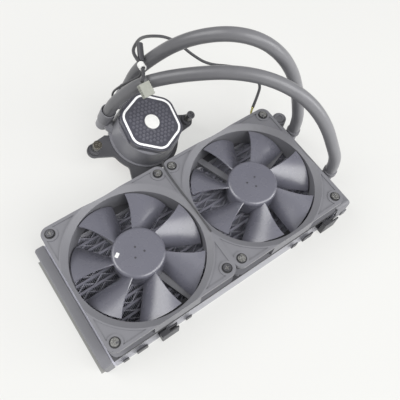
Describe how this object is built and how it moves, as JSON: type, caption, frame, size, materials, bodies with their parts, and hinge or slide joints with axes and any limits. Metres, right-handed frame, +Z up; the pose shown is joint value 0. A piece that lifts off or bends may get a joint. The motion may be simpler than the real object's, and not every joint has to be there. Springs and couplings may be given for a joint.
{
  "type": "all in one cpu liquid cooler",
  "caption": "Closed loop processor cooler: a flat radiator under two 120 mm fans, two arched hoses and a leaning pump with a hexagonal light ring and a four armed bracket",
  "frame": {"origin": "middle of the radiator's underside, on the surface it lies on, at the centre of its case mounting holes", "axes": "+X along the radiator towards the tank with the hose ports, +Y from the radiator towards the pump, +Z up"},
  "size_m": [0.2855, 0.2389, 0.1586],
  "materials": {
    "black_metal": "satin black paint",
    "steel": "bright steel",
    "black_screws": "blackened steel",
    "copper": "milled copper",
    "laminations": "steel laminations and copper wire",
    "magnet": "ferrite in a steel ring",
    "bearing": "sintered bronze",
    "board": "circuit board",
    "fan_plastic": "matt black moulded plastic",
    "pump_plastic": "matt black moulded plastic",
    "cap_plastic": "glossy black plastic",
    "ring_plastic": "milky white light guide",
    "ferrules": "black crimped sleeve",
    "hose": "black rubber hose",
    "cable": "black sleeve",
    "plug": "light grey plastic"
  },
  "bodies": {
    "cooler": {"closed_tank": "black_metal", "port_tank": "black_metal", "side_channel_front": "black_metal", "side_channel_rear": "black_metal", "header_plates": "black_metal", "coolant_tubes": "black_metal", "air_fins": "black_metal", "mounting_bracket": "black_metal", "pump_axle": "steel", "cold_plate_screws": "steel", "mount_spring_1": "steel", "mount_spring_2": "steel", "mount_spring_3": "steel", "mount_spring_4": "steel", "fan_1_screws": "black_screws", "fan_2_screws": "black_screws", "cold_plate": "copper", "fan_1_stator": "laminations", "fan_2_stator": "laminations", "pump_stator": "laminations", "fan_1_bearing": "bearing", "fan_2_bearing": "bearing", "fan_1_circuit_board": "board", "fan_2_circuit_board": "board", "pump_board": "board", "fan_1_frame": "fan_plastic", "fan_2_frame": "fan_plastic", "pump_housing": "pump_plastic", "pump_divider": "pump_plastic", "pump_elbows": "pump_plastic", "port_elbows": "pump_plastic", "cable_hooks": "pump_plastic", "fill_plug": "pump_plastic", "pump_joiner": "pump_plastic", "pump_cap": "cap_plastic", "dimpled_plate": "cap_plastic", "light_ring": "ring_plastic", "cap_disc": "ring_plastic", "cable_label": "ring_plastic", "pump_ferrules": "ferrules", "port_ferrules": "ferrules", "hose_a": "hose", "hose_b": "hose", "pump_gasket": "hose", "fan_1_lead": "cable", "fan_2_lead": "cable", "cable_trunk": "cable", "pump_lead": "cable", "grey_plug": "plug"},
    "fan_1_rotor": {"fan_1_impeller": "fan_plastic", "fan_1_magnet_ring": "magnet", "fan_1_shaft": "steel"},
    "fan_2_rotor": {"fan_2_impeller": "fan_plastic", "fan_2_magnet_ring": "magnet", "fan_2_shaft": "steel"},
    "pump_rotor": {"pump_impeller": "pump_plastic"},
    "screw_1": {"mount_screw_1": "steel"},
    "screw_2": {"mount_screw_2": "steel"},
    "screw_3": {"mount_screw_3": "steel"},
    "screw_4": {"mount_screw_4": "steel"}
  },
  "joints": [
    {"name": "fan_1_spin", "type": "hinge", "parent": "cooler", "child": "fan_1_rotor", "pos_m": [-0.06, 0, 0.04], "axis": [0, 0, 1], "continuous": true},
    {"name": "fan_2_spin", "type": "hinge", "parent": "cooler", "child": "fan_2_rotor", "pos_m": [0.06, 0, 0.04], "axis": [0, 0, 1], "continuous": true},
    {"name": "pump_spin", "type": "hinge", "parent": "cooler", "child": "pump_rotor", "pos_m": [0.01335, 0.11245, 0.02397], "axis": [0.1878, -0.3104, 0.9319], "continuous": true},
    {"name": "screw_1_press", "type": "slide", "parent": "cooler", "child": "screw_1", "axis": [-0.1878, 0.3104, -0.9319], "range_m": [0, 0.0035], "stiffness_N_per_m": 500, "deforming": ["mount_spring_1"]},
    {"name": "screw_2_press", "type": "slide", "parent": "cooler", "child": "screw_2", "axis": [-0.1878, 0.3104, -0.9319], "range_m": [0, 0.0035], "stiffness_N_per_m": 500, "deforming": ["mount_spring_2"]},
    {"name": "screw_3_press", "type": "slide", "parent": "cooler", "child": "screw_3", "axis": [-0.1878, 0.3104, -0.9319], "range_m": [0, 0.0035], "stiffness_N_per_m": 500, "deforming": ["mount_spring_3"]},
    {"name": "screw_4_press", "type": "slide", "parent": "cooler", "child": "screw_4", "axis": [-0.1878, 0.3104, -0.9319], "range_m": [0, 0.0035], "stiffness_N_per_m": 500, "deforming": ["mount_spring_4"]}
  ]
}
